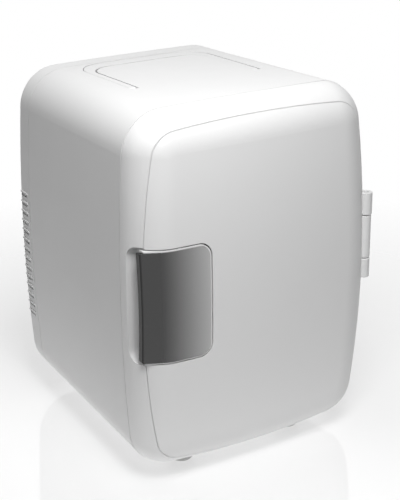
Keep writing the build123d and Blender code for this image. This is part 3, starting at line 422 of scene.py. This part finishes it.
def straightenLatch(piece):
    mesh = piece.data
    normals = [n.vector.copy() for n in mesh.corner_normals]
    step = latchBend["slopeStep"]
    turned = []
    for loop, normal in zip(mesh.loops, normals):
        x = mesh.vertices[loop.vertex_index].co.x / millimetre
        slope = (bendOffset(x + step) - bendOffset(x - step)) / (2 * step)
        turned.append(Vector((normal.x - slope * normal.y, normal.y, normal.z)).normalized())
    for vertex in mesh.vertices:
        vertex.co.y += bendOffset(vertex.co.x / millimetre) * millimetre
    mesh.normals_split_custom_set(turned)


for name in ("latchFacing", "latchLever"):
    straightenLatch(made[name])
for node, piece in cadNodes.items():
    if node not in copyNames:
        paint(piece.data, node)
print("stage: pieces from the frame")


# screws and louvre blades repeat, so Geometry Nodes make them
def startGeometry(name, sizes):
    tree = bpy.data.node_groups.new(name, "GeometryNodeTree")
    tree.interface.new_socket("Geometry", in_out="INPUT", socket_type="NodeSocketGeometry")
    for label, value in sizes.items():
        socket = tree.interface.new_socket(label, in_out="INPUT", socket_type="NodeSocketFloat")
        socket.default_value = value
    tree.interface.new_socket("Geometry", in_out="OUTPUT", socket_type="NodeSocketGeometry")
    return tree, tree.nodes.new("NodeGroupInput"), tree.nodes.new("NodeGroupOutput")


def finishGeometry(tree, output, geometry, material):
    realized = addNode(tree, "GeometryNodeRealizeInstances", Geometry=geometry)
    painted = addNode(tree, "GeometryNodeSetMaterial", Geometry=realized.outputs["Geometry"], Material=material)
    tree.links.new(painted.outputs["Geometry"], output.inputs["Geometry"])


def vectorOf(tree, x=0.0, y=0.0, z=0.0):
    return addNode(tree, "ShaderNodeCombineXYZ", X=x, Y=y, Z=z).outputs["Vector"]


def lifted(tree, geometry, height):
    moved = addNode(tree, "GeometryNodeTransform", Geometry=geometry, Translation=vectorOf(tree, z=height))
    return moved.outputs["Geometry"]


def joined(tree, parts):
    join = tree.nodes.new("GeometryNodeJoinGeometry")
    for part in reversed(parts):
        tree.links.new(part, join.inputs["Geometry"])
    return join.outputs["Geometry"]


screwForm = {
    "headMesh": {"Vertices": 36, "Side_Segments": 3, "Fill_Segments": 5}, "shankMesh": {"Vertices": 16},
    "domeCurve": 2.6, "domeDrop": -0.45, "recessSpan": 1.15, "recessUp": 1.05, "ridge": 0.00022,
    "coilSteps": 14, "coilShare": 0.8, "coilStart": -0.95, "turnsPerMetre": 1000.0, "seed": 7,
}


def domedHead(tree, get):
    form = screwForm
    head = addNode(tree, "GeometryNodeMeshCylinder", {"fill_type": "TRIANGLE_FAN"}, **form["headMesh"],
                   Radius=get["Head Radius"], Depth=get["Head Height"])
    place = tree.nodes.new("GeometryNodeInputPosition")
    apart = addNode(tree, "ShaderNodeSeparateXYZ", Vector=place.outputs["Position"])
    reach = addNode(tree, "ShaderNodeVectorMath", {"operation": "LENGTH"})
    tree.links.new(vectorOf(tree, apart.outputs["X"], apart.outputs["Y"]), reach.inputs[0])
    share = combine(tree, "DIVIDE", reach.outputs["Value"], get["Head Radius"])
    curve = plainMath(tree, "POWER", share, form["domeCurve"])
    drop = times(tree, curve, times(tree, get["Head Height"], form["domeDrop"]))
    upper = addNode(tree, "FunctionNodeCompare", {"data_type": "FLOAT", "operation": "GREATER_THAN"})
    tree.links.new(apart.outputs["Z"], upper.inputs[0])
    domed = addNode(tree, "GeometryNodeSetPosition", Geometry=head.outputs["Mesh"],
                    Selection=upper.outputs[0], Offset=vectorOf(tree, z=drop))
    return lifted(tree, domed.outputs["Geometry"], times(tree, get["Head Height"], 0.5))


def crossCut(tree, get, head):
    form = screwForm
    cut = addNode(tree, "GeometryNodeMeshBoolean", {"operation": "DIFFERENCE"})
    tree.links.new(head, cut.inputs["Mesh 1"])
    for turn in (0.0, 90.0):
        span = times(tree, get["Head Radius"], form["recessSpan"])
        size = vectorOf(tree, span, get["Recess Width"], get["Head Height"])
        bar = addNode(tree, "GeometryNodeMeshCube", Size=size)
        turned = addNode(tree, "GeometryNodeTransform", Geometry=bar.outputs["Mesh"],
                         Translation=vectorOf(tree, z=times(tree, get["Head Height"], form["recessUp"])),
                         Rotation=(0.0, 0.0, math.radians(turn)))
        tree.links.new(turned.outputs["Geometry"], cut.inputs["Mesh 2"])
    return cut.outputs["Mesh"]


def coiledThread(tree, get):
    form = screwForm
    coil = addNode(tree, "GeometryNodeCurveSpiral", Resolution=form["coilSteps"],
                   Start_Radius=get["Shank Radius"], End_Radius=get["Shank Radius"],
                   Height=times(tree, get["Shank Length"], form["coilShare"]),
                   Rotations=times(tree, get["Shank Length"], form["turnsPerMetre"]))
    ridge = addNode(tree, "GeometryNodeCurvePrimitiveCircle", Resolution=4, Radius=form["ridge"])
    thread = addNode(tree, "GeometryNodeCurveToMesh", Curve=coil.outputs["Curve"],
                     Profile_Curve=ridge.outputs["Curve"], Fill_Caps=True)
    return lifted(tree, thread.outputs["Mesh"], times(tree, get["Shank Length"], form["coilStart"]))


def screwTree(material):
    sizes = {"Head Radius": 0.0028, "Head Height": 0.0016, "Shank Radius": 0.0012, "Shank Length": 0.01,
             "Recess Width": 0.0008}
    tree, given, output = startGeometry("crossHeadScrew", sizes)
    get = given.outputs
    head = crossCut(tree, get, domedHead(tree, get))
    shank = addNode(tree, "GeometryNodeMeshCylinder", {"fill_type": "TRIANGLE_FAN"}, **screwForm["shankMesh"],
                    Radius=get["Shank Radius"], Depth=get["Shank Length"])
    hung = lifted(tree, shank.outputs["Mesh"], times(tree, get["Shank Length"], -0.5))
    screw = joined(tree, [head, hung, coiledThread(tree, get)])
    turn = addNode(tree, "FunctionNodeRandomValue", {"data_type": "FLOAT"}, Seed=screwForm["seed"])
    floatMaximum, floatValue = 3, 1
    turn.inputs[floatMaximum].default_value = math.radians(180)
    upright = addNode(tree, "GeometryNodeInstanceOnPoints", Points=get["Geometry"], Instance=screw,
                      Rotation=vectorOf(tree, math.radians(-90), turn.outputs[floatValue], 0.0))
    finishGeometry(tree, output, upright.outputs["Instances"], material)
    return tree


def bladeTree(material):
    sizes = {"Depth": 0.0036, "Length": 0.0104, "Thickness": 0.0008, "Tilt": 0.7}
    tree, given, output = startGeometry("louvreBlade", sizes)
    get = given.outputs
    blade = addNode(tree, "GeometryNodeMeshCube",
                    Size=vectorOf(tree, get["Depth"], get["Length"], get["Thickness"]))
    place = tree.nodes.new("GeometryNodeInputPosition")
    apart = addNode(tree, "ShaderNodeSeparateXYZ", Vector=place.outputs["Position"])
    sign = plainMath(tree, "SIGN", apart.outputs["X"], 0.0)
    placed = addNode(tree, "GeometryNodeInstanceOnPoints", Points=get["Geometry"],
                     Instance=blade.outputs["Mesh"],
                     Rotation=vectorOf(tree, y=times(tree, sign, get["Tilt"])))
    finishGeometry(tree, output, placed.outputs["Instances"], material)
    return tree


def growPiece(name, tree, points, sizes, body):
    seeds = bpy.data.meshes.new(name + "Points")
    seeds.from_pydata(points, [], [])
    carrier = bpy.data.objects.new(name + "Carrier", seeds)
    scene.collection.objects.link(carrier)
    modifier = carrier.modifiers.new("grow", "NODES")
    modifier.node_group = tree
    keys = {item.name: item.identifier for item in tree.interface.items_tree if item.in_out == "INPUT"}
    for label, value in sizes.items():
        modifier[keys[label]] = value
    graph = bpy.context.evaluated_depsgraph_get()
    mesh = bpy.data.meshes.new_from_object(carrier.evaluated_get(graph))
    bpy.data.objects.remove(carrier)
    mesh.name = name
    mesh.set_sharp_from_angle(angle=math.radians(35))
    for face in mesh.polygons:
        face.use_smooth = True
    piece = bpy.data.objects.new(name, mesh)
    scene.collection.objects.link(piece)
    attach(piece, body)
    return piece


# the box round each loose part of a node
def islandBoxes(node):
    work = bmesh.new()
    work.from_mesh(cadNodes[node].data)
    bmesh.ops.remove_doubles(work, verts=work.verts, dist=mergeDistance)
    left = set(work.verts)
    boxes = []
    while left:
        heap = [left.pop()]
        low, high = heap[0].co.copy(), heap[0].co.copy()
        while heap:
            vertex = heap.pop()
            low = Vector(map(min, low, vertex.co))
            high = Vector(map(max, high, vertex.co))
            for edge in vertex.link_edges:
                other = edge.other_vert(vertex)
                if other in left:
                    left.remove(other)
                    heap.append(other)
        boxes.append((low, high))
    work.free()
    return sorted(boxes, key=lambda pair: tuple(pair[0]))


screwSizes = {"headRadius": 2.8, "headHeight": 1.6, "shankRadius": 1.22, "recess": 0.75}   # millimetres
screwNodes = {"rear_cover_screws": "rearCoverScrews", "fan_screws": "fanScrews", "board_screws": "boardScrews",
              "heat_sink_screws": "heatSinkScrews", "door_screws": "doorScrews"}
steelScrew = screwTree(materials["screwSteel"])
headHeight = screwSizes["headHeight"] * millimetre
for node, name in screwNodes.items():
    boxes = islandBoxes(node)
    seats = [((low.x + high.x) / 2, high.y - headHeight, (low.z + high.z) / 2) for low, high in boxes]
    firstLow, firstHigh = boxes[0]
    piece = growPiece(name, steelScrew, seats, {
        "Head Radius": screwSizes["headRadius"] * millimetre,
        "Head Height": headHeight,
        "Shank Radius": screwSizes["shankRadius"] * millimetre,
        "Shank Length": firstHigh.y - firstLow.y - headHeight,
        "Recess Width": screwSizes["recess"] * millimetre,
    }, bodyOf[node])
    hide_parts(node)

louvres = {   # millimetres and degrees
    "count": 14, "top": 171.9, "pitch": 7.8, "along": 94.2, "inside": 1.75,
    "halfWidth": 95.6, "bow": 6.0, "middle": 141.5, "halfHeight": 129.3,
    "depth": 3.4, "length": 10.2, "thickness": 0.8, "tilt": 42.0,
}
bladePoints = []
for side in (-1, 1):
    for i in range(louvres["count"]):
        height = louvres["top"] - i * louvres["pitch"]
        sag = louvres["bow"] * ((height - louvres["middle"]) / louvres["halfHeight"]) ** 2
        across = louvres["halfWidth"] - sag - louvres["inside"]
        bladePoints.append((side * across * millimetre, louvres["along"] * millimetre, height * millimetre))
blades = growPiece("louvreBlades", bladeTree(materials["shellWhite"]), bladePoints, {
    "Depth": louvres["depth"] * millimetre,
    "Length": louvres["length"] * millimetre,
    "Thickness": louvres["thickness"] * millimetre,
    "Tilt": math.radians(louvres["tilt"]),
}, "cabinet")
print("stage: screws and louvre blades")


# a glossy floor that fades away from the fridge
floorLook = {"dust": (6.0, 3.0), "roughness": (0.04, 0.09), "dark": grey(0.50), "light": grey(0.53),
             "glow": 0.46, "index": 1.9, "fade": (0.22, 0.55), "halfSide": 0.6}
floorMaterial, tree, shader, coords = startMaterial("floorWhite")
dust = noiseOf(tree, coords, *floorLook["dust"])
tree.links.new(rangeOf(tree, dust, *floorLook["roughness"]), shader.inputs["Roughness"])
tree.links.new(mixColour(tree, dust, floorLook["dark"], floorLook["light"]), shader.inputs["Base Color"])
shader.inputs["Emission Color"].default_value = (1, 1, 1, 1)
shader.inputs["Emission Strength"].default_value = floorLook["glow"]
shader.inputs["IOR"].default_value = floorLook["index"]
distance = addNode(tree, "ShaderNodeVectorMath", {"operation": "LENGTH"})
tree.links.new(coords, distance.inputs[0])
fade = rangeOf(tree, distance.outputs["Value"], 1.0, 0.0, *floorLook["fade"])
tree.links.new(fade, shader.inputs["Alpha"])
side = floorLook["halfSide"]
corners = [(-side, -side, 0), (side, -side, 0), (side, side, 0), (-side, side, 0)]
floorMesh = bpy.data.meshes.new("floor")
floorMesh.from_pydata(corners, [], [(0, 1, 2, 3)])
floorMesh.materials.append(floorMaterial)
floor = bpy.data.objects.new("floor", floorMesh)
scene.collection.objects.link(floor)

# the world is white to the eye and in reflections, and lights nothing else
glossyStrength = 1.1
world = bpy.data.worlds.new("studio")
scene.world = world
world.use_nodes = True
sky = world.node_tree
sky.nodes.clear()
rays = sky.nodes.new("ShaderNodeLightPath")
reflected = combine(sky, "MULTIPLY", rays.outputs["Is Glossy Ray"], glossyStrength)
seen = combine(sky, "ADD", rays.outputs["Is Camera Ray"], reflected)
glow = addNode(sky, "ShaderNodeBackground", Color=(1, 1, 1, 1), Strength=seen)
skyOut = sky.nodes.new("ShaderNodeOutputWorld")
sky.links.new(glow.outputs[0], skyOut.inputs["Surface"])

softboxes = {   # place, aimed at, size, power
    "frontBox": ((-0.1, -0.55, 1.15), (0, 0, 0.2), (0.5, 0.5), 4.5),
    "topBox": ((-0.1, 0.05, 0.95), (0, 0, 0.2), (0.35, 0.35), 1.85),
    "cornerBox": ((-0.18, -0.38, 0.58), (-0.03, -0.1, 0.24), (0.2, 0.2), 1.75),
    "sideBox": ((-0.9, -0.1, 0.6), (-0.1, 0, 0.15), (0.5, 0.5), 0.65),
}
for name, (place, target, size, power) in softboxes.items():
    lamp = bpy.data.lights.new(name, "AREA")
    lamp.shape = "RECTANGLE"
    lamp.size, lamp.size_y = size
    lamp.energy = power
    holder = bpy.data.objects.new(name, lamp)
    holder.location = place
    holder.rotation_euler = (Vector(target) - Vector(place)).to_track_quat("-Z", "Y").to_euler()
    scene.collection.objects.link(holder)

cameraView = {"target": (0.0043, 0.0, 0.1556), "azimuth": -31.32, "elevation": 20.34, "roll": -0.61,
              "distance": 0.9848, "lens": 92.54, "sensor": 36.0, "shift": (0.008, -0.05)}
azimuth = math.radians(cameraView["azimuth"])
elevation = math.radians(cameraView["elevation"])
back = Vector((math.sin(azimuth) * math.cos(elevation), -math.cos(azimuth) * math.cos(elevation),
               math.sin(elevation)))
lens = bpy.data.cameras.new("studioCamera")
lens.lens = cameraView["lens"]
lens.sensor_width = cameraView["sensor"]
lens.shift_x, lens.shift_y = cameraView["shift"]
lens.dof.use_dof = False
camera = bpy.data.objects.new("studioCamera", lens)
camera.location = Vector(cameraView["target"]) + back * cameraView["distance"]
camera.rotation_mode = "QUATERNION"
roll = Quaternion((0, 0, 1), math.radians(cameraView["roll"]))
camera.rotation_quaternion = (-back).to_track_quat("-Z", "Y") @ roll
scene.collection.objects.link(camera)
scene.camera = camera
scene.view_settings.view_transform = "Standard"
print("stage: studio")
